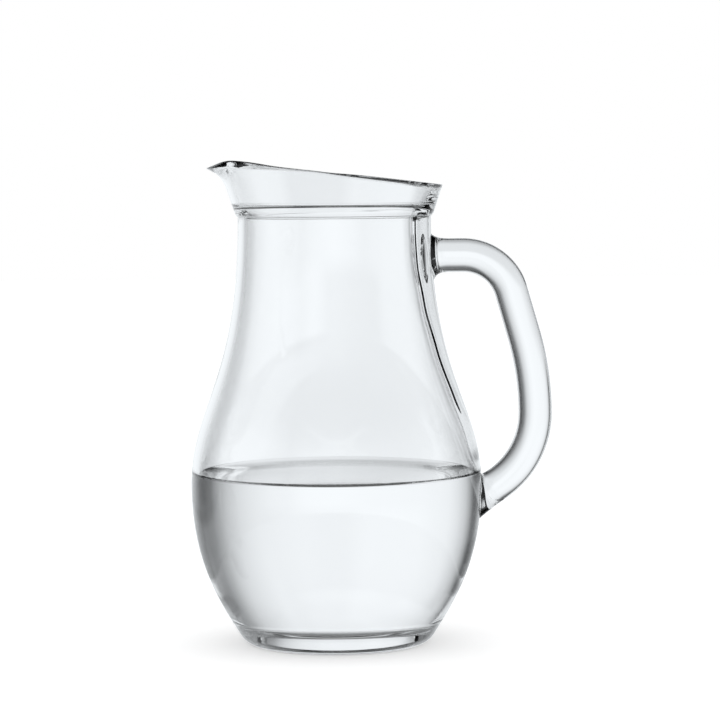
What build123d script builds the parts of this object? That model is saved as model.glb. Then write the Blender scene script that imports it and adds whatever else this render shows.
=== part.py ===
# A one-litre glass water jug with a slanted pouring mouth, a solid glass handle and its water.
# The axis of the vessel is Z, the jug stands on Z = 0, the handle points to +X and the
# spout to -X. All sizes are in millimetres, and the jug is the same on both sides of Y = 0.
import os
from math import cos, radians, sin, tan

from build123d import *

# Vessel outline, measured on the outside of the glass
foot_radius = 37.0
heel_angle = 64.0
heel_pull = 11.0
heel_round = 6.0
belly_radius = 58.15
belly_height = 63.7
belly_pull_below = 36.8
belly_pull_above = 32.3
neck_radius = 38.5
neck_pull = 66.0
neck_height = 171.0

# Glass thickness, the floor and the hollow pressed into the underside
wall = 3.0
floor_thickness = 8.0
floor_crown = 1.2
floor_round = 3.0
underside_radius = 29.0
underside_rise = 2.6

# Collar above the neck: a step, then an even flare drawn out into a pouring lip
collar_step = 0.7
collar_flare = 18.5
collar_ledge = 4.7
ledge_step = 0.4
rim_wall = 2.4
rim_bevel = 0.6
lip_half_angle = 28.0
lip_overhang = 4.8
lip_curl = 4.0

# Heights of the slanted rim above the top of the neck, from the handle round to the lip
rim_back_rise = 12.4
rim_middle_rise = 17.8
lip_root_rise = 21.2
lip_crest_rise = 23.4
lip_tip_rise = 19.0
lip_root_reach = 26.0
lip_crest_reach = 40.0

# Handle: a solid oval bar drawn from the neck down to the belly
bar_depth = 13.5
bar_width = 12.4
handle_top_height = 155.0
handle_reach = 79.8
grip_height = 92.0
grip_radius = 112.0
grip_lean = 16.0
upper_bend_radius = 20.0
lower_bend_radius = 34.9
lower_approach = 57.0
pad_depth = 20.5
pad_width = 17.0
pad_reach = 5.0
pad_spread = 0.22
pad_sink = 1.6

# Water
water_height = 68.3
water_gap = 0.05

# Points along the offset outlines, and heights at which the collar is cut
outline_steps = 6
collar_steps = 5


def at(reach, height):
    """A point in the plane of symmetry."""
    return Vector(reach, 0, height)


def vessel_curves():
    """The two outer curves, foot to belly and belly to neck."""
    foot = at(foot_radius, 0)
    heel = at(foot_radius + heel_pull * cos(radians(heel_angle)), heel_pull * sin(radians(heel_angle)))
    belly = at(belly_radius, belly_height)
    below = Bezier(foot, heel, at(belly_radius, belly_height - belly_pull_below), belly)
    above = Bezier(
        belly,
        at(belly_radius, belly_height + belly_pull_above),
        at(neck_radius, neck_height - neck_pull),
        at(neck_radius, neck_height),
    )
    return below, above


def inset_point(curve, share, inset):
    """The point that lies an inset inside the glass, square to the outer curve."""
    along = curve % share
    return curve @ share + Vector(-along.Z, 0, along.X) * inset


def share_at_height(curve, height, inset):
    """Where along a rising curve the inset outline passes a height."""
    low, high = 0.0, 1.0
    for halving in range(40):
        middle = (low + high) / 2
        if inset_point(curve, middle, inset).Z < height:
            low = middle
        else:
            high = middle
    return high


def outer_radius(height):
    """Outer radius of the vessel at a height below the collar."""
    below, above = vessel_curves()
    curve = below if height < belly_height else above
    return inset_point(curve, share_at_height(curve, height, 0), 0).X


def turned(outline):
    """The solid that a closed outline in the plane of symmetry sweeps round the axis."""
    return revolve(make_face(outline), Axis.Z)


def vessel_form():
    """The vessel up to the top of the neck, as if it were solid glass."""
    below, above = vessel_curves()
    crown = at(0, underside_rise)
    outline = Curve() + [
        TangentArc(crown, at(underside_radius, 0), tangent=(1, 0, 0)),
        Line(at(underside_radius, 0), at(foot_radius, 0)),
        below,
        above,
        Line(at(neck_radius, neck_height), at(0, neck_height)),
        Line(at(0, neck_height), crown),
    ]
    form = turned(outline)
    foot_edge = form.edges().filter_by(GeomType.CIRCLE).filter_by(
        lambda edge: abs(edge.radius - foot_radius) < 0.01
    )
    return fillet(foot_edge, heel_round)


def cavity_form(inset):
    """The space inside the wall, drawn in by an inset, up to the ledge inside the collar."""
    below, above = vessel_curves()
    floor_height = floor_thickness + inset - wall
    start = share_at_height(below, floor_height, inset)
    low_points = [
        inset_point(below, start + (1 - start) * step / outline_steps, inset)
        for step in range(outline_steps + 1)
    ]
    high_points = [
        inset_point(above, step / outline_steps, inset) for step in range(outline_steps + 1)
    ]
    floor_edge = low_points[0]
    bore = high_points[-1].X
    top_height = neck_height + collar_ledge
    floor_middle = at(0, floor_height + floor_crown)
    outline = Curve() + [
        TangentArc(floor_middle, floor_edge, tangent=(1, 0, 0)),
        Spline(*low_points, tangents=[below % start, at(0, 1)]),
        Spline(*high_points, tangents=[at(0, 1), at(0, 1)]),
        Line(at(bore, neck_height), at(bore, top_height)),
        Line(at(bore, top_height), at(0, top_height)),
        Line(at(0, top_height), floor_middle),
    ]
    form = turned(outline)
    floor_ring = form.edges().filter_by(GeomType.CIRCLE).filter_by(
        lambda edge: abs(edge.radius - floor_edge.X) < 0.01
    )
    return fillet(floor_ring, floor_round)


def collar_radius(rise):
    """Outer radius of the round part of the collar, at a height above the neck."""
    return neck_radius + collar_step + rise * tan(radians(collar_flare))


def lip_reach(rise):
    """How far the outside of the pouring lip stands out, at a height above the neck."""
    return collar_radius(rise) + lip_overhang * (rise / lip_tip_rise) ** lip_curl


def collar_wall(rise):
    """Thickness of the collar: it starts a small step outside the bore and thins to the rim."""
    ledge_wall = collar_radius(collar_ledge) - (neck_radius - wall) - ledge_step
    share = (rise - collar_ledge) / (rim_back_rise - collar_ledge)
    share = min(max(share, 0), 1)
    return ledge_wall + (rim_wall - ledge_wall) * (2 * share - share**2)


def mouth_section(rise, inset):
    """A level cut through the collar: round, with a beak drawn out on the lip side."""
    radius = collar_radius(rise) - inset
    reach = lip_reach(rise) - inset
    height = neck_height + rise
    half_angle = radians(lip_half_angle)
    pull = 4 / 3 * tan(half_angle / 4) * radius
    back = Vector(radius, 0, height)
    tip = Vector(-reach, 0, height)
    edges = []
    for side in (1, -1):
        root = Vector(-radius * cos(half_angle), side * radius * sin(half_angle), height)
        along = Vector(-sin(half_angle), -side * cos(half_angle), 0)
        quarter = Vector(0, side * radius, height)
        edges.append(ThreePointArc(back, quarter, root))
        edges.append(Bezier(root, root + along * pull, tip + Vector(0, side * pull, 0), tip))
    return make_face(Curve() + edges)


def collar_stock(first_rise, inset_at):
    """The collar as a solid up to above the rim, drawn in by an inset at each height."""
    stock_top = lip_crest_rise + rim_wall
    rises = [
        first_rise + (stock_top - first_rise) * step / collar_steps for step in range(collar_steps + 1)
    ]
    return loft([mouth_section(rise, inset_at(rise)) for rise in rises])


def rim_cutter():
    """Everything above the slanted rim, seen from the side and run through along Y."""
    clear = lip_reach(lip_crest_rise + rim_wall) + rim_wall
    top = neck_height + lip_crest_rise + 4 * rim_wall
    back_reach = collar_radius(rim_back_rise)
    tip_reach = lip_reach(lip_tip_rise)
    back_slope = (rim_middle_rise - rim_back_rise) / back_reach
    back_point = at(clear, neck_height + rim_back_rise - back_slope * (clear - back_reach))
    tip_slope = (lip_crest_rise - lip_tip_rise) / (tip_reach - lip_crest_reach)
    far_tip = at(-clear, neck_height + lip_tip_rise - 1.5 * tip_slope * (clear - tip_reach))
    rim_line = Spline(
        back_point,
        at(back_reach, neck_height + rim_back_rise),
        at(0, neck_height + rim_middle_rise),
        at(-lip_root_reach, neck_height + lip_root_rise),
        at(-lip_crest_reach, neck_height + lip_crest_rise),
        at(-tip_reach, neck_height + lip_tip_rise),
        far_tip,
    )
    above = Polyline(far_tip, at(-clear, top), at(clear, top), back_point)
    return extrude(make_face(Curve() + [rim_line, above]), clear, dir=(0, 1, 0), both=True)


def make_glass_body(form, cavity):
    """The blown vessel: solid form, collar and lip, hollowed out and cut at the rim."""
    outside = form + collar_stock(0, lambda rise: 0)
    inside = cavity + collar_stock(collar_ledge, collar_wall)
    body = outside - inside - rim_cutter()
    lowest_rim = neck_height + rim_back_rise - rim_wall
    rim_edges = [
        edge
        for edge in body.edges()
        if edge.bounding_box().min.Z > lowest_rim and edge.length > 2 * rim_wall
    ]
    return chamfer(rim_edges, min(rim_bevel, rim_wall / 3))


def bar_section(plane, depth, width):
    """An oval cut through the handle bar, its depth in the plane of symmetry."""
    return plane * Ellipse(width / 2, depth / 2)


def handle_path():
    """The middle line of the bar: a line, a bend, a straight grip, its swell and the lower bend."""
    lean = radians(grip_lean)
    approach = radians(lower_approach)
    swell_middle = at(handle_reach - grip_radius, grip_height)
    swell_top = swell_middle + at(cos(lean), sin(lean)) * grip_radius
    grip_middle = at(handle_reach, grip_height)
    bend_drop = upper_bend_radius * (1 - sin(lean))
    bend_height = handle_top_height - bend_drop
    bend_end = at(swell_top.X - (bend_height - swell_top.Z) * tan(lean), bend_height)
    bend_start = at(bend_end.X - upper_bend_radius * cos(lean), handle_top_height)
    lower_middle = at(handle_reach - lower_bend_radius, grip_height)
    lower_end = lower_middle + at(cos(approach), -sin(approach)) * lower_bend_radius
    return bend_start, bend_end, swell_top, grip_middle, lower_end


def pad_form(first_plane, root_height, wall_reach, tilt):
    """A flared foot that spreads from the end of the bar on to the wall of the vessel."""
    middle = at(wall_reach, root_height)
    halfway = first_plane.origin * 0.5 + middle * 0.5
    turn = Vector(cos(radians(tilt / 2)), 0, sin(radians(tilt / 2)))
    halfway_plane = Plane(halfway, x_dir=(0, 1, 0), z_dir=turn)
    wall_plane = Plane(middle, x_dir=(0, 1, 0), z_dir=(1, 0, 0))
    halfway_depth = bar_depth + (pad_depth - bar_depth) * pad_spread
    halfway_width = bar_width + (pad_width - bar_width) * pad_spread
    return loft(
        [
            bar_section(first_plane, bar_depth, bar_width),
            bar_section(halfway_plane, halfway_depth, halfway_width),
            bar_section(wall_plane, pad_depth, pad_width),
        ]
    )


def make_glass_handle(form):
    """The handle bar and its two flared pads, seated on the outside of the vessel."""
    bend_start, bend_end, swell_top, grip_middle, lower_end = handle_path()
    upper_seat = outer_radius(handle_top_height)
    upper_root = at(upper_seat + pad_reach, handle_top_height)
    path = Curve() + [
        Line(upper_root, bend_start),
        TangentArc(bend_start, bend_end, tangent=(1, 0, 0)),
        Line(bend_end, swell_top),
        TangentArc(swell_top, grip_middle, tangent=swell_top - bend_end),
        TangentArc(grip_middle, lower_end, tangent=(0, 0, -1)),
    ]
    inward = Vector(-sin(radians(lower_approach)), 0, -cos(radians(lower_approach)))
    upper_plane = Plane(upper_root, x_dir=(0, 1, 0), z_dir=(1, 0, 0))
    lower_plane = Plane(lower_end, x_dir=(0, 1, 0), z_dir=inward * -1)
    bar = sweep(bar_section(upper_plane, bar_depth, bar_width), path=Wire(path.edges()))
    lower_height = lower_end.Z - (lower_end.X - belly_radius) / tan(radians(lower_approach))
    upper_pad = pad_form(upper_plane, handle_top_height, upper_seat - pad_sink, 0)
    lower_wall = outer_radius(lower_height) - pad_sink
    lower_pad = pad_form(lower_plane, lower_height, lower_wall, 90 - lower_approach)
    return bar + upper_pad + lower_pad - form


def make_water():
    """The water: the space inside the glass, drawn in by the gap and cut at its level."""
    above = neck_height + lip_crest_rise - water_height
    emptied = extrude(Plane.XY.offset(water_height) * Circle(belly_radius), above)
    return cavity_form(wall + water_gap) - emptied


form = vessel_form()
pieces = {
    "glass_body": make_glass_body(form, cavity_form(wall)),
    "glass_handle": make_glass_handle(form),
    "water": make_water(),
}
os.makedirs("parts", exist_ok=True)
for name, piece in pieces.items():
    export_step(piece, f"parts/{name}.step")
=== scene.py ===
# A one-litre glass water jug, half full: blown body with a drawn-out lip, solid glass handle, water
import bisect
import math

import bmesh
import bpy
from mathutils import Matrix, Vector
from mathutils.geometry import interpolate_bezier


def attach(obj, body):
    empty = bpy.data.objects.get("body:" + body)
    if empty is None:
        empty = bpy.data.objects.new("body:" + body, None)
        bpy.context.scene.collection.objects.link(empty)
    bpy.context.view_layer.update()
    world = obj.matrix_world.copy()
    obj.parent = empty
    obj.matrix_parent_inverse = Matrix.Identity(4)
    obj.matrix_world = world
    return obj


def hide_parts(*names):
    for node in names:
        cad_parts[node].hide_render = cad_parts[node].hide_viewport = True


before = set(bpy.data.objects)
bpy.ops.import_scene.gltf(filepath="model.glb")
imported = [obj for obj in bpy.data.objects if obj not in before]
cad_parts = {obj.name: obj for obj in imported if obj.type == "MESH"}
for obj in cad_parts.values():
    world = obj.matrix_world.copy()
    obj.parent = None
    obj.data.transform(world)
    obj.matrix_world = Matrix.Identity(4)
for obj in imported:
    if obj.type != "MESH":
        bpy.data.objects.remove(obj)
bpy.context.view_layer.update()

scene = bpy.context.scene
print("frame loaded")

# shapes are worked out in millimetres and dictionaries give angles in degrees
metresPerMillimetre = 0.001
mergeDistance = 0.0005


# Shared helpers

def point(reach, height):
    # in the plane of symmetry, millimetres
    return Vector((reach, 0, height))


def curvePoints(corners, steps):
    return interpolate_bezier(*corners, steps + 1)


def bend(start, corner, end, steps):
    # a rounded corner between two points, near to a quarter circle
    roundShare = 0.55
    return interpolate_bezier(start, start.lerp(corner, roundShare), end.lerp(corner, roundShare), end,
                              steps + 1)


def insetPoints(points, inset):
    # the same line, moved square to itself towards the axis
    moved = []
    for index, here in enumerate(points):
        along = points[min(index + 1, len(points) - 1)] - points[max(index - 1, 0)]
        along.normalize()
        moved.append(here + Vector((-along.z, 0, along.x)) * inset)
    return moved


def smooth(share):
    share = min(max(share, 0), 1)
    return share * share * (3 - 2 * share)


def spinProfile(bm, profile, segments):
    # turns a profile that starts and ends on the axis into a closed shell
    verts = [bm.verts.new(p) for p in profile]
    edges = [bm.edges.new(pair) for pair in zip(verts, verts[1:])]
    bmesh.ops.spin(bm, geom=verts + edges, cent=(0, 0, 0), axis=(0, 0, 1), dvec=(0, 0, 0),
                   angle=2 * math.pi, steps=segments, use_merge=True, use_duplicate=False)
    bmesh.ops.remove_doubles(bm, verts=bm.verts, dist=mergeDistance)


def finishPiece(bm, name, materials, node):
    # brings the mesh to metres, shades it smooth and hands it to the frame
    bmesh.ops.scale(bm, vec=(metresPerMillimetre,) * 3, verts=bm.verts)
    for face in bm.faces:
        face.smooth = True
    mesh = bpy.data.meshes.new(name)
    bm.to_mesh(mesh)
    bm.free()
    for material in materials:
        mesh.materials.append(material)
    piece = bpy.data.objects.new(name, mesh)
    scene.collection.objects.link(piece)
    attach(piece, "root")
    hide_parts(node)
    return piece


def linear(hexColour):
    # sRGB hex to linear light
    parts = [int(hexColour[i:i + 2], 16) / 255 for i in (1, 3, 5)]
    return [p / 12.92 if p <= 0.04045 else ((p + 0.055) / 1.055) ** 2.4 for p in parts] + [1.0]


def addNode(tree, kind, settings=None, inputs=None, links=None):
    # one node with its settings, its input values and its incoming links
    node = tree.nodes.new(kind)
    for name, value in (settings or {}).items():
        setattr(node, name, value)
    for name, value in (inputs or {}).items():
        node.inputs[name].default_value = value
    for name, source in (links or {}).items():
        tree.links.new(source, node.inputs[name])
    return node


# Materials

def newMaterial(name):
    material = bpy.data.materials.new(name)
    material.use_nodes = True
    material.node_tree.nodes.clear()
    return material, material.node_tree


def makeGlass(name, look):
    material, tree = newMaterial(name)
    place = addNode(tree, "ShaderNodeTexCoord").outputs["Object"]
    glass = addNode(tree, "ShaderNodeBsdfPrincipled",
                    inputs={"Base Color": linear(look["colour"]), "Roughness": look["roughness"],
                            "IOR": look["ior"], "Transmission Weight": 1.0})
    if look["waveHeight"]:
        slow = addNode(tree, "ShaderNodeTexNoise", inputs={"Scale": look["wavesPerMetre"], "Detail": 1.0},
                       links={"Vector": place})
        bump = addNode(tree, "ShaderNodeBump", inputs={"Strength": 1.0, "Distance": look["waveHeight"]},
                       links={"Height": slow.outputs["Fac"]})
        tree.links.new(bump.outputs["Normal"], glass.inputs["Normal"])
    if look.get("welds"):
        # inside each oval weld the two glasses are one, so light isn't bent there
        parts = addNode(tree, "ShaderNodeSeparateXYZ", links={"Vector": place})
        joined = None
        for height, halfHeight, halfWidth in look["welds"]:
            up = addNode(tree, "ShaderNodeMath", {"operation": "SUBTRACT"}, {1: height},
                         {0: parts.outputs["Z"]})
            tall = addNode(tree, "ShaderNodeMath", {"operation": "DIVIDE"}, {1: halfHeight},
                           {0: up.outputs[0]})
            wide = addNode(tree, "ShaderNodeMath", {"operation": "DIVIDE"}, {1: halfWidth},
                           {0: parts.outputs["Y"]})
            flat = addNode(tree, "ShaderNodeCombineXYZ", links={0: tall.outputs[0], 1: wide.outputs[0]})
            away = addNode(tree, "ShaderNodeVectorMath", {"operation": "LENGTH"},
                           links={0: flat.outputs[0]})
            inside = addNode(tree, "ShaderNodeMath", {"operation": "LESS_THAN"}, {1: 1.0},
                             {0: away.outputs["Value"]})
            if joined is None:
                joined = inside
            else:
                joined = addNode(tree, "ShaderNodeMath", {"operation": "MAXIMUM"},
                                 links={0: joined.outputs[0], 1: inside.outputs[0]})
        index = addNode(tree, "ShaderNodeMapRange", inputs={"To Min": look["ior"], "To Max": 1.0},
                        links={"Value": joined.outputs[0]})
        tree.links.new(index.outputs["Result"], glass.inputs["IOR"])
    addNode(tree, "ShaderNodeOutputMaterial", links={"Surface": glass.outputs["BSDF"]})
    return material


# soda-lime glass, blown and fire polished: clear and glossy, with slow waves that bend what lies behind
blownGlass = {
    "colour": "#ffffff",
    "ior": 1.52,
    "roughness": 0.0,
    "wavesPerMetre": 45,       # 22 mm from wave to wave, as blowing leaves them
    "waveHeight": 0.00002,     # metres
}
# the same glass drawn hot as a bar: a smooth solid lens that gathers light into bright and dark lines
drawnGlass = {
    "colour": "#ffffff",
    "ior": 1.52,
    "roughness": 0.0,
    "wavesPerMetre": 60,
    "waveHeight": 0.00001,
}
# tap water at rest: clear and flat, bending light less than the glass round it
stillWater = {
    "colour": "#ffffff",
    "ior": 1.333,
    "roughness": 0.0,
    "waveHeight": 0,
}


# Glass body: the curves' pulls are the lengths of their handles

vessel = {
    "footRadius": 37.0,
    "heelAngle": 64.0,
    "heelPull": 11.0,
    "heelRound": 3.8,
    "bellyRadius": 58.15,
    "bellyHeight": 63.7,
    "bellyPullBelow": 36.8,
    "bellyPullAbove": 32.3,
    "neckRadius": 38.5,
    "neckPull": 66.0,
    "neckHeight": 171.0,
    "wall": 3.0,
    "floorThickness": 8.0,
    "floorCrown": 1.2,
    "floorRound": 4.5,
    "undersideRadius": 29.0,
    "undersideRise": 2.6,
    "segments": 192,
    "bellySteps": 36,
    "neckSteps": 60,
    "floorSteps": 12,
    "undersideSteps": 10,
    "roundSteps": 8,
    "wettedFrom": 6.0,         # faces lower than this belong to the foot
}
pool = {
    "contact": 69.35,          # where the water's edge meets the glass
    "edgeAngle": 47.0,         # how steeply the water creeps up the glass there
    "capillaryLength": 2.7,
    "lastSlope": 0.4,
    "creepSteps": 24,
    "creepCrowding": 1.3,
    "gap": 0.03,               # keeps the two meshes apart, and counts as water
}
# behind the handle's upper end the hot wall sank inwards, widest at the weld and running out downwards:
# height, how far it reaches to either side in degrees, and how deep it is
swell = [(70.5, 20.0, 0.0), (84.0, 21.0, 1.1), (98.0, 22.0, 2.3), (118.0, 25.0, 2.9), (137.0, 31.0, 3.6),
         (153.0, 36.0, 4.2), (165.0, 37.0, 4.2), (172.0, 37.0, 4.0), (175.75, 36.0, 3.6),
         (176.2, 32.0, 1.3), (180.0, 30.0, 0.9), (182.0, 30.0, 0.0)]
collar = {
    "step": 0.7,               # how far the collar stands out from the neck
    "flare": 18.5,
    "ledgeRise": 4.7,          # rises are heights above the neck
    "rimWall": 2.5,
    "rimOuterRound": 0.45,
    "rimSlant": 0.5,           # the rim's top falls inwards
    "rimDrop": 2.2,
    "backRise": 12.4,
    "slope": 0.1245,           # how fast the rim climbs from the handle to the lip
    "crest": 0.9,              # the rim rises a little at the lip's roots
    "crestReach": 36.0,
    "crestWidth": 9.0,
    "dip": 4.5,                # the lip's tip bends down again
    "dipReach": 40.0,
    "tipReach": 51.2,
    "edgeRise": 17.25,         # towards the lip the rim's outer edge climbs less than its inner edge
    "edgeSlope": 0.05,
    "edgeBlend": 0.6,
    "slantLoss": 1.2,          # once the edges differ by this much, the rim's slant is gone
    "overhang": 5.7,
    "curl": 8.0,
    "lipWall": 2.6,
    "halfAngle": 34.0,
    # small rounds and how closely the profile's points lie
    "lead": 0.3,               # how far short of a corner its round starts
    "noseReach": 0.12,
    "noseRise": 0.02,
    "stepShort": 0.1,
    "stepTurn": 80.0,
    "stepRings": 6,
    "flareRings": 26,
    "flareCrowding": 1.6,
    "rimLead": 1.5,
    "slantShare": 0.7,
    "ledgeEdge": ((0.15, 0.3), (0.5, 0.35)),
    "shelfReach": 0.9,
    "shelfFall": (0.1, 0.2),
    "boreRound": 1.0,
    "boreRings": 5,
    "boreStart": 0.5,
    "fits": 6,                 # goes at finding the rim's height, which changes with its reach
}


def outerCurves():
    foot = point(vessel["footRadius"], 0)
    heelAngle = math.radians(vessel["heelAngle"])
    heel = foot + point(math.cos(heelAngle), math.sin(heelAngle)) * vessel["heelPull"]
    belly = point(vessel["bellyRadius"], vessel["bellyHeight"])
    neck = point(vessel["neckRadius"], vessel["neckHeight"])
    below = [foot, heel, belly - point(0, vessel["bellyPullBelow"]), belly]
    above = [belly, belly + point(0, vessel["bellyPullAbove"]), neck - point(0, vessel["neckPull"]), neck]
    return curvePoints(below, vessel["bellySteps"]) + curvePoints(above, vessel["neckSteps"])[1:]


outerLine = outerCurves()
outerHeights = [p.z for p in outerLine]


def outerReach(height):
    # radius of the vessel's outside at a height
    upper = bisect.bisect(outerHeights, height)
    low, high = outerLine[upper - 1], outerLine[upper]
    return low.lerp(high, (height - low.z) / (high.z - low.z)).x


def innerLine(inset):
    # the inner wall from the floor's edge up to the top of the neck
    floorHeight = vessel["floorThickness"] + inset - vessel["wall"]
    line = insetPoints(outerLine, inset)
    start = next(i for i, p in enumerate(line) if p.z > floorHeight)
    low, high = line[start - 1], line[start]
    edge = low.lerp(high, (floorHeight - low.z) / (high.z - low.z))
    return floorHeight, [edge] + line[start:]


def floorLine(inset):
    # from the inner wall round the floor's edge to the axis
    floorHeight, line = innerLine(inset)
    edge = line[0]
    crown = vessel["floorCrown"]
    radius = (edge.x ** 2 + crown ** 2) / (2 * crown)
    steps = vessel["floorSteps"]
    across = [edge.x * (1 - step / steps) for step in range(steps + 1)]
    floor = [point(x, floorHeight + crown - radius + math.sqrt(radius ** 2 - x ** 2)) for x in across]
    wallStart = next(p for p in line if (p - edge).length > vessel["floorRound"])
    floorStart = next(p for p in floor if (p - edge).length > vessel["floorRound"])
    rising = [p for p in line if p.z > wallStart.z]
    resting = [p for p in floor if p.x < floorStart.x]
    return rising, bend(wallStart, edge, floorStart, vessel["roundSteps"]), resting


def collarRadius(rise):
    return vessel["neckRadius"] + collar["step"] + rise * math.tan(math.radians(collar["flare"]))


def throatRadius(rise):
    # the collar's wall is as thick at the ledge as at the rim
    return collarRadius(rise) - collar["rimWall"]


def throatTop():
    rise = collar["backRise"] - collar["rimDrop"]
    return point(throatRadius(rise), vessel["neckHeight"] + collar["backRise"] - collar["rimDrop"])


def rimRise(reach):
    # height of the rim above the neck, by how far towards the handle it stands
    middleRise = collar["backRise"] + collar["slope"] * collarRadius(collar["backRise"])
    crest = collar["crest"] * math.exp(-((reach + collar["crestReach"]) / collar["crestWidth"]) ** 2)
    past = max(0, -reach - collar["dipReach"]) / (collar["tipReach"] - collar["dipReach"])
    return middleRise - collar["slope"] * reach + crest - collar["dip"] * past ** 2


def lipShare(angle):
    # 1 at the middle of the lip, falling smoothly to 0 at its roots
    off = abs(math.degrees(math.atan2(math.sin(angle - math.pi), math.cos(angle - math.pi))))
    return 1 - smooth(off / collar["halfAngle"])


def undersideLine():
    # the pressed-up underside, from the axis out
    under = vessel["undersideRadius"]
    rise = vessel["undersideRise"]
    radius = (under ** 2 + rise ** 2) / (2 * rise)
    steps = vessel["undersideSteps"]
    return [point(under * s / steps, rise - radius + math.sqrt(radius ** 2 - (under * s / steps) ** 2))
            for s in range(steps + 1)]


def stepLine():
    # the small quarter-round step where the collar leaves the neck
    neck = vessel["neckHeight"]
    radius = vessel["neckRadius"]
    size = collar["step"]
    nose = point(radius + collar["noseReach"], neck + collar["noseRise"])
    step = bend(point(radius, neck - collar["lead"]), point(radius, neck), nose, 3)
    for ring in range(1, collar["stepRings"] + 1):
        angle = math.radians(collar["stepTurn"]) * ring / collar["stepRings"]
        step.append(point(radius + collar["noseReach"] + math.sin(angle) * (size - collar["stepShort"]),
                          neck + collar["noseRise"] + (1 - math.cos(angle)) * size))
    return step


def flareLine(start):
    # the collar's outside from the step up to the rim
    neck = vessel["neckHeight"]
    ledge = collar["ledgeRise"]
    back = collar["backRise"]
    drop = collar["rimDrop"]
    rings = collar["flareRings"]
    rises = [start + (ledge - start) * s / 3 for s in range(4)]
    rises += [back - drop - (back - drop - ledge) * (1 - s / rings) ** collar["flareCrowding"]
              for s in range(1, rings + 1)]
    rises.append(back - collar["rimOuterRound"] * collar["rimLead"])
    return [point(collarRadius(r), neck + r) for r in rises]


def rimLine():
    # over the rim and down the throat's first part
    neck = vessel["neckHeight"]
    back = collar["backRise"]
    outer = collar["rimOuterRound"]
    slant = collar["rimSlant"]
    rim = bend(point(collarRadius(back - outer), neck + back - outer),
               point(collarRadius(back), neck + back),
               point(collarRadius(back) - outer, neck + back - outer * slant), 5)
    innerDrop = collar["rimWall"] * slant
    innerTop = point(throatRadius(back - innerDrop), neck + back - innerDrop)
    innerStart = rim[-1].lerp(innerTop, collar["slantShare"])
    rim += [rim[-1].lerp(innerStart, s / 3) for s in (1, 2)]
    return rim + bend(innerStart, innerTop, throatTop(), vessel["roundSteps"])


def throatLine():
    # straight down the collar's inside, over the ledge and down the neck's bore
    neck = vessel["neckHeight"]
    ledge = collar["ledgeRise"]
    bore = vessel["neckRadius"] - vessel["wall"]
    rings = collar["flareRings"]
    end = point(throatRadius(ledge + collar["lead"]), neck + ledge + collar["lead"])
    throat = [throatTop().lerp(end, s / rings) for s in range(1, rings + 1)]
    corner, shelf = [end - point(*offset) for offset in collar["ledgeEdge"]]
    throat += bend(end, corner, shelf, 5)[1:]
    boreTop = ledge - collar["boreRound"]
    throat += bend(point(bore + collar["shelfReach"], neck + ledge - collar["shelfFall"][0]),
                   point(bore, neck + ledge - collar["shelfFall"][1]), point(bore, neck + boreTop),
                   vessel["roundSteps"])
    rings = collar["boreRings"]
    return throat + [point(bore, neck + boreTop * (1 - s / rings)) for s in range(1, rings + 1)]


def insideLine(wallLine):
    # down the inner wall, with one point exactly where the water's edge lies
    wetTop = pool["contact"]
    above = [p for p in wallLine if p.z > wetTop]
    below = [p for p in wallLine if p.z < wetTop]
    share = (wetTop - below[-1].z) / (above[0].z - below[-1].z)
    line = below + [below[-1].lerp(above[0], share)] + above
    return [p for p in reversed(line) if p.z < vessel["neckHeight"] - collar["boreStart"]]


def bodyProfile():
    foot = outerLine[0]
    heelStart = point(foot.x - vessel["heelRound"], 0)
    heelEnd = next(p for p in outerLine if (p - foot).length > vessel["heelRound"])
    heel = [heelStart] + bend(heelStart, foot, heelEnd, vessel["roundSteps"])[1:]
    outside = [p for p in outerLine if p.z > heelEnd.z]
    step = stepLine()
    flare = flareLine(step[-1].z - vessel["neckHeight"] + collar["lead"])
    wallLine, floorBend, floor = floorLine(vessel["wall"])
    return (undersideLine() + heel + outside[:-1] + step + flare + rimLine() + throatLine()
            + insideLine(wallLine) + floorBend + floor)


def shapeCollar(bm):
    # stretches the level collar up to the slanted rim and draws out the lip
    neck = vessel["neckHeight"]
    ledge = collar["ledgeRise"]
    band = collar["backRise"] - collar["rimDrop"]
    for vert in bm.verts:
        if vert.co.z < neck + 0.01:
            continue
        up = vert.co.z - neck
        angle = math.atan2(vert.co.y, vert.co.x)
        depth = collarRadius(up) - math.hypot(vert.co.x, vert.co.y)
        lip = lipShare(angle)
        inner = min(max(depth / collar["rimWall"], 0), 1)
        rise = collar["backRise"]
        for fit in range(collar["fits"]):
            reach = collarRadius(rise) + lip * collar["overhang"] - inner * collar["rimWall"]
            rise = rimRise(reach * math.cos(angle))
        over = rise - collar["edgeRise"] + collar["edgeSlope"] * reach * math.cos(angle)
        split = (over + math.sqrt(over ** 2 + collar["edgeBlend"] ** 2)) / 2
        rise -= split * (1 - inner)
        lift = rise - collar["backRise"]
        if up > band:
            level = smooth((up - band) / (collar["backRise"] - band)) * collar["rimSlant"]
            level *= min(depth, collar["rimWall"])
            up += lift + min(split / collar["slantLoss"], 1) * level
        elif up > ledge:
            up = ledge + (up - ledge) * (1 + lift / (band - ledge))
        pull = lip * (up / rise) ** collar["curl"]
        depth *= 1 + (collar["lipWall"] / collar["rimWall"] - 1) * lip * (up / rise) ** 2
        radius = collarRadius(up) + pull * collar["overhang"] - depth
        vert.co = Vector((radius * math.cos(angle), radius * math.sin(angle), neck + up))


def swellAt(height):
    # half angle and depth of the sunken wall at a height
    for low, high in zip(swell, swell[1:]):
        if low[0] <= height <= high[0]:
            share = smooth((height - low[0]) / (high[0] - low[0]))
            return [a + (b - a) * share for a, b in zip(low[1:], high[1:])]
    return 1.0, 0.0


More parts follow.
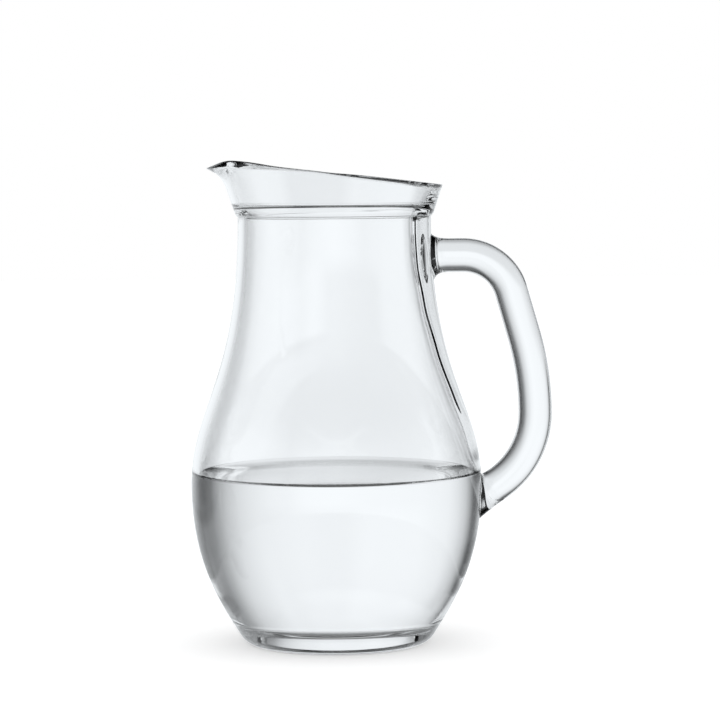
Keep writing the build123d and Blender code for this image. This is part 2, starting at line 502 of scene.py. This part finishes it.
def pressWall(bm):
    # moves the inner wall in behind the upper end of the handle
    neck = vessel["neckHeight"]
    for vert in bm.verts:
        reach = math.hypot(vert.co.x, vert.co.y)
        outside = outerReach(vert.co.z) if vert.co.z < neck else collarRadius(vert.co.z - neck)
        if not swell[0][0] < vert.co.z < swell[-1][0] or reach > outside - vessel["wall"] / 2:
            continue
        halfAngle, depth = swellAt(vert.co.z)
        off = abs(math.degrees(math.atan2(vert.co.y, vert.co.x))) / halfAngle
        push = depth * (1 - smooth(off))
        vert.co.x *= 1 - push / reach
        vert.co.y *= 1 - push / reach


def makeBody():
    bm = bmesh.new()
    spinProfile(bm, bodyProfile(), vessel["segments"])
    shapeCollar(bm)
    pressWall(bm)
    bmesh.ops.recalc_face_normals(bm, faces=bm.faces)
    for face in bm.faces:
        middle = face.calc_center_median()
        if middle.z < vessel["wettedFrom"] or middle.z > vessel["neckHeight"] - 1:
            continue
        outside = math.hypot(middle.x, middle.y) > outerReach(middle.z) - vessel["wall"] / 2
        if not outside and middle.z < pool["contact"]:
            face.material_index = 1
        elif outside and middle.x > 0 and abs(middle.y) < bar["padWidth"]:
            face.material_index = 2
    # the welds' heights and half sizes, in metres
    welds = [(pad["middle"] / 1000, pad["depth"] / 2000, bar["padWidth"] / 2000)
             for pad in (bar["upperPad"], bar["lowerPad"])]
    # where glass and water or glass and glass touch, one face carries the step from one to the other
    blown = makeGlass("blownSodaLimeGlass", blownGlass)
    wetted = makeGlass("glassAgainstWater", dict(blownGlass, ior=blownGlass["ior"] / stillWater["ior"]))
    welded = makeGlass("glassMeltedToHandle", dict(blownGlass, welds=welds))
    return finishPiece(bm, "blown_body", [blown, wetted, welded], "glass_body")


# Handle

bar = {
    "depth": 13.5,
    "width": 12.4,
    "topHeight": 155.0,
    "reach": 79.8,
    "gripHeight": 92.0,
    "gripRadius": 112.0,
    "gripLean": 16.0,
    "upperBend": 20.0,
    "lowerBend": 34.9,
    "lowerApproach": 57.0,
    "padWidth": 17.0,
    "padReach": 6.0,
    "upperPad": {"middle": 154.35, "depth": 18.9},
    "lowerPad": {"middle": 59.45, "depth": 20.5},
    "padStiffness": (0.75, 0.35),   # how long the bar keeps its own direction before it spreads
    "sink": 0.02,
    "sides": 96,
    "padSteps": 14,
    "endRings": (0.9, 0.7, 0.4, 0.1),
}


def wallReach(side, height, sink):
    # where the outside of the vessel is, at a height and off to one side
    return math.sqrt((outerReach(height) - sink) ** 2 - side ** 2)


def ovalPoint(angle, middle):
    # the bar's cut where it leaves the upper pad
    up = point(0, 1) * (math.cos(angle) * bar["depth"] / 2)
    return middle + up + Vector((0, math.sin(angle) * bar["width"] / 2, 0))


def ringAngles():
    return [2 * math.pi * i / bar["sides"] for i in range(bar["sides"])]


def extrudeRing(bm, ring, places):
    # grows the bar by one ring and returns it
    edges = [bm.edges.get((ring[i - 1], ring[i])) for i in range(len(ring))]
    grown = bmesh.ops.extrude_edge_only(bm, edges=edges)["geom"]
    newVerts = [g for g in grown if isinstance(g, bmesh.types.BMVert)]
    ordered = [next(e.other_vert(v) for e in v.link_edges if e.other_vert(v) in newVerts) for v in ring]
    for vert, place in zip(ordered, places):
        vert.co = place
    return ordered


def padPoint(angle, pad, upright, shrink):
    # a point of the pad's oval on the vessel's outside
    side = math.sin(angle) * bar["padWidth"] / 2 * shrink
    height = pad["middle"] + upright * math.cos(angle) * pad["depth"] / 2 * shrink
    return Vector((wallReach(side, height, bar["sink"]), side, height))


def growPad(bm, ring, direction, pad, upright):
    # spreads the end of the bar on to the vessel and closes it against the wall
    leaveShare, endShare = bar["padStiffness"]
    angles = ringAngles()
    starts = [v.co.copy() for v in ring]
    wallMiddle = Vector((wallReach(0, pad["middle"], 0), 0, pad["middle"]))
    length = (wallMiddle - sum(starts, Vector()) / len(starts)).length
    lines = []
    for start, angle in zip(starts, angles):
        end = padPoint(angle, pad, upright, 1)
        leave = start + direction * length * leaveShare
        arrive = end.lerp(leave, endShare)
        lines.append(interpolate_bezier(start, leave, arrive, end, bar["padSteps"] + 1))
    for step in range(1, bar["padSteps"] + 1):
        ring = extrudeRing(bm, ring, [line[step] for line in lines])
    before = set(bm.faces)
    for shrink in bar["endRings"]:
        ring = extrudeRing(bm, ring, [padPoint(angle, pad, upright, shrink) for angle in angles])
    bm.faces.new(ring)
    for face in set(bm.faces) - before:
        face.material_index = 1


def makeHandle():
    lean = math.radians(bar["gripLean"])
    approach = math.radians(bar["lowerApproach"])
    gripMiddle = point(bar["reach"] - bar["gripRadius"], bar["gripHeight"])
    gripTop = gripMiddle + point(math.cos(lean), math.sin(lean)) * bar["gripRadius"]
    bendHeight = bar["topHeight"] - bar["upperBend"] * (1 - math.sin(lean))
    bendReach = gripTop.x - (bendHeight - gripTop.z) * math.tan(lean)
    bendMiddle = point(bendReach - bar["upperBend"] * math.cos(lean), bar["topHeight"] - bar["upperBend"])
    lowerMiddle = point(bar["reach"] - bar["lowerBend"], bar["gripHeight"])
    rootMiddle = point(wallReach(0, bar["topHeight"], 0) + bar["padReach"], bar["topHeight"])
    # each stretch of the bar: what it turns about, by how much and in how many rings
    turns = [
        (bendMiddle, math.pi / 2 - lean, 28),
        (None, 0, 8),          # straight
        (gripMiddle, lean, 14),
        (lowerMiddle, approach, 26),
    ]
    bm = bmesh.new()
    first = [bm.verts.new(ovalPoint(angle, rootMiddle)) for angle in ringAngles()]
    for i in range(len(first)):
        bm.edges.new((first[i - 1], first[i]))
    ring = first
    rootRings = 4
    forward = point((bendMiddle.x - rootMiddle.x) / rootRings, 0)
    for step in range(rootRings):
        ring = extrudeRing(bm, ring, [v.co + forward for v in ring])
    for middle, turn, steps in turns:
        for step in range(steps):
            if middle is None:
                shift = (gripTop - point(bendReach, bendHeight)) / steps
                places = [v.co + shift for v in ring]
            else:
                spin = Matrix.Rotation(turn / steps, 3, "Y")
                places = [middle + spin @ (v.co - middle) for v in ring]
            ring = extrudeRing(bm, ring, places)
    inward = point(-math.sin(approach), -math.cos(approach))
    growPad(bm, ring, inward, bar["lowerPad"], -1)
    growPad(bm, first, point(-1, 0), bar["upperPad"], 1)
    bmesh.ops.recalc_face_normals(bm, faces=bm.faces)
    drawn = makeGlass("drawnSodaLimeGlass", drawnGlass)
    melted = makeGlass("handleMeltedToBody", dict(drawnGlass, ior=1.0, waveHeight=0))
    return finishPiece(bm, "drawn_handle", [drawn, melted], "glass_handle")


# Water

def creepPoints():
    # the free surface near the glass: distance from the wall and height over the level, by its slope
    first = math.radians(pool["edgeAngle"])
    last = math.radians(pool["lastSlope"])
    steps = pool["creepSteps"]
    slopes = [first * (1 - s / steps) ** pool["creepCrowding"] + last for s in range(steps + 1)]
    aside = [-math.log(math.tan(a / 4)) - 2 * math.cos(a / 2) for a in slopes]
    return [(pool["capillaryLength"] * (x - aside[0]), pool["capillaryLength"] * 2 * math.sin(a / 2))
            for x, a in zip(aside, slopes)]


def makeWater():
    wallLine, floorBend, floor = floorLine(vessel["wall"] + pool["gap"])
    creep = creepPoints()
    level = pool["contact"] - creep[0][1]
    edge = next(p for p in wallLine if p.z > pool["contact"])
    rising = [p for p in wallLine if p.z < pool["contact"] - 0.1]
    surface = [point(edge.x - away, level + high) for away, high in creep]
    profile = [point(0, level)] + surface[::-1] + rising[::-1] + floorBend + floor
    bm = bmesh.new()
    spinProfile(bm, profile, vessel["segments"])
    bmesh.ops.recalc_face_normals(bm, faces=bm.faces)
    for face in bm.faces:
        middle = face.calc_center_median()
        if middle.z < level - 0.001 or face.normal.z < 0.2:
            face.material_index = 1
    still = makeGlass("stillWater", stillWater)
    wetting = makeGlass("waterAgainstGlass", dict(stillWater, ior=1.0))
    return finishPiece(bm, "still_water", [still, wetting], "water")


body = makeBody()
print("body made", len(body.data.polygons))
handle = makeHandle()
print("handle made", len(handle.data.polygons))
water = makeWater()
print("water made", len(water.data.polygons))


# Studio: the camera sees white, and the glass sees a graded room of soft panels with darker gaps

studio = {
    # brightness by direction: degrees from straight behind the jug, towards the handle side
    # a fit to the photograph's own light and dark guided these values, so this is no plain even studio
    "backdrop": [(-180, 0.95), (-155, 0.9), (-141, 0.5), (-130, 0.75), (-112, 0.95), (-74, 0.95),
                 (-67, 0.4), (-63, 0.03), (-50, 0.03), (-47, 0.12), (-43, 0.45), (-39, 0.7),
                 (-34, 0.85), (-28, 0.95), (-18, 1.0), (5, 1.0), (12, 0.94), (18, 0.82), (22, 0.72),
                 (26, 0.56), (30, 0.36), (35, 0.19), (40, 0.12), (44.5, 0.09), (46.5, 0.01), (58, 0.01),
                 (64, 0.1), (75, 0.5), (90, 0.7), (125, 0.45), (150, 0.55), (180, 0.95)],
    "table": [(-180, 0.1), (-128, 0.1), (-115, 0.8), (-75, 0.9), (-50, 0.75), (-30, 0.85), (12, 0.88),
              (22, 0.62), (32, 0.28), (40, 0.12), (46, 0.03), (60, 0.03), (70, 0.45), (80, 0.65),
              (110, 0.9), (155, 0.9), (172, 0.1), (180, 0.1)],
    # degrees above or below level: where the table and the ceiling take over, and the ceiling's strength
    "tableStart": (-13.0, -8.0),
    "ceilingStart": (12.0, 30.0),
    "ceiling": 0.8,
    # what is left of it close under the jug and straight overhead
    "lit": [(-70, 0.03), (-64, 0.7), (-50, 0.65), (-32, 1.0), (22, 1.0), (33, 0.25), (60, 0.1)],
    "tint": "#f8fcff",
    "fill": 0.85,
    "paper": "#f4f4f4",
    "floorSize": 4.0,
    "paperGlow": 0.45,
    "paintedShade": (0.036, 0.046),   # metres from the jug's axis: where the painted shade, a dim glowing disc on the table under the jug, ends
    # painted shade: the fixed dim glow of that disc, standing in for the jug's shade on the table
    "paintedShadeLight": 0.06,
}


def addRamp(tree, source, stops, low, high):
    # brightness along a range of degrees
    share = addNode(tree, "ShaderNodeMapRange",
                    inputs={"From Min": math.radians(low), "From Max": math.radians(high)},
                    links={"Value": source})
    ramp = addNode(tree, "ShaderNodeValToRGB", links={"Fac": share.outputs["Result"]})
    ramp.color_ramp.interpolation = "LINEAR"
    elements = ramp.color_ramp.elements
    for index, (degrees, brightness) in enumerate(stops):
        stop = elements[index] if index < 2 else elements.new(1.0)
        stop.position = (degrees - low) / (high - low)
        stop.color = (brightness, brightness, brightness, 1)
    return ramp.outputs["Color"]


def makeStudio():
    world = bpy.data.worlds.new("whiteStudio")
    scene.world = world
    world.use_nodes = True
    tree = world.node_tree
    tree.nodes.clear()
    way = addNode(tree, "ShaderNodeTexCoord").outputs["Generated"]
    parts = addNode(tree, "ShaderNodeSeparateXYZ", links={"Vector": way})
    around = addNode(tree, "ShaderNodeMath", {"operation": "ARCTAN2"},
                     links={0: parts.outputs["X"], 1: parts.outputs["Y"]}).outputs[0]
    rise = addNode(tree, "ShaderNodeMath", {"operation": "ARCSINE"},
                   links={0: parts.outputs["Z"]}).outputs[0]
    backdrop = addRamp(tree, around, studio["backdrop"], -180, 180)
    table = addRamp(tree, around, studio["table"], -180, 180)
    tableEnd, backdropStart = studio["tableStart"]
    backdropEnd, ceilingStart = studio["ceilingStart"]
    tableShare = addRamp(tree, rise, [(tableEnd, 1), (backdropStart, 0)], -90, 90)
    ceilingShare = addRamp(tree, rise, [(backdropEnd, 0), (ceilingStart, 1)], -90, 90)
    lit = addRamp(tree, rise, studio["lit"], -90, 90)
    ceiling = addNode(tree, "ShaderNodeVectorMath", {"operation": "SCALE"}, {"Scale": studio["ceiling"]},
                      {0: backdrop}).outputs[0]
    low = addNode(tree, "ShaderNodeMix", {"data_type": "RGBA"},
                  links={0: tableShare, 6: backdrop, 7: table})
    high = addNode(tree, "ShaderNodeMix", {"data_type": "RGBA"},
                   links={0: ceilingShare, 6: low.outputs[2], 7: ceiling})
    under = addNode(tree, "ShaderNodeVectorMath", {"operation": "MULTIPLY"},
                    links={0: high.outputs[2], 1: lit})
    tinted = addNode(tree, "ShaderNodeVectorMath", {"operation": "MULTIPLY"},
                     {1: linear(studio["tint"])[:3]}, {0: under.outputs[0]})
    path = addNode(tree, "ShaderNodeLightPath")
    fill = addNode(tree, "ShaderNodeMix", {"data_type": "RGBA"}, inputs={7: (studio["fill"],) * 3 + (1,)},
                   links={0: path.outputs["Is Diffuse Ray"], 6: tinted.outputs[0]})
    seen = addNode(tree, "ShaderNodeMix", {"data_type": "RGBA"}, inputs={7: (1, 1, 1, 1)},
                   links={0: path.outputs["Is Camera Ray"], 6: fill.outputs[2]})
    background = addNode(tree, "ShaderNodeBackground", links={"Color": seen.outputs[2]})
    addNode(tree, "ShaderNodeOutputWorld", links={"Surface": background.outputs["Background"]})


def makeFloor():
    bm = bmesh.new()
    bmesh.ops.create_grid(bm, x_segments=1, y_segments=1, size=studio["floorSize"])
    mesh = bpy.data.meshes.new("floor")
    bm.to_mesh(mesh)
    bm.free()
    floor = bpy.data.objects.new("floor", mesh)
    scene.collection.objects.link(floor)
    # matt background paper: one even white to the eye, but for the jug's soft shadow
    material, tree = newMaterial("whitePaperWithPaintedShade")
    paper = addNode(tree, "ShaderNodeBsdfDiffuse", inputs={"Color": linear(studio["paper"])})
    glow = addNode(tree, "ShaderNodeEmission", inputs={"Strength": studio["paperGlow"]})
    both = addNode(tree, "ShaderNodeAddShader", links={0: paper.outputs[0], 1: glow.outputs[0]})
    # through the glass only a painted shade is seen, a dim glowing disc straight under the jug, and past
    # it the studio's own table
    place = addNode(tree, "ShaderNodeTexCoord").outputs["Object"]
    away = addNode(tree, "ShaderNodeVectorMath", {"operation": "LENGTH"},
                   links={0: place}).outputs["Value"]
    pastPaintedShade = addNode(tree, "ShaderNodeMapRange",
                        inputs={"From Min": studio["paintedShade"][0], "From Max": studio["paintedShade"][1]},
                        links={"Value": away}).outputs["Result"]
    # painted shade: a dim glow in place of the jug's shade, seen only through the glass
    paintedShade = addNode(tree, "ShaderNodeEmission", inputs={"Strength": studio["paintedShadeLight"]})
    clear = addNode(tree, "ShaderNodeBsdfTransparent")
    through = addNode(tree, "ShaderNodeMixShader",
                      links={0: pastPaintedShade, 1: paintedShade.outputs[0], 2: clear.outputs[0]})
    path = addNode(tree, "ShaderNodeLightPath")
    seen = addNode(tree, "ShaderNodeMixShader",
                   links={0: path.outputs["Is Transmission Ray"], 1: both.outputs[0],
                          2: through.outputs[0]})
    addNode(tree, "ShaderNodeOutputMaterial", links={"Surface": seen.outputs[0]})
    mesh.materials.append(material)
    floor.visible_glossy = False


makeStudio()
makeFloor()
print("studio made")


# Camera, where the photograph was taken from

view = {
    "lens": 144.0,             # millimetres, as the sensor's width is
    "sensor": 36,
    "clip": (0.01, 20),
    "distance": 1.150,
    "height": 0.1877,
    "right": 0.0098,
    "pitchDown": 3.7,
    "roll": 0.45,
}


def makeCamera():
    lens = bpy.data.cameras.new("camera")
    lens.lens = view["lens"]
    lens.sensor_width = view["sensor"]
    lens.clip_start, lens.clip_end = view["clip"]
    camera = bpy.data.objects.new("camera", lens)
    scene.collection.objects.link(camera)
    camera.matrix_world = (Matrix.Translation((view["right"], -view["distance"], view["height"]))
                           @ Matrix.Rotation(math.radians(90 - view["pitchDown"]), 4, "X")
                           @ Matrix.Rotation(math.radians(-view["roll"]), 4, "Z"))
    scene.camera = camera


makeCamera()
scene.view_settings.view_transform = "Standard"
# light passes many walls of glass and water before it leaves
scene.cycles.max_bounces = 32
scene.cycles.transmission_bounces = 32
scene.cycles.glossy_bounces = 16
print("camera set")
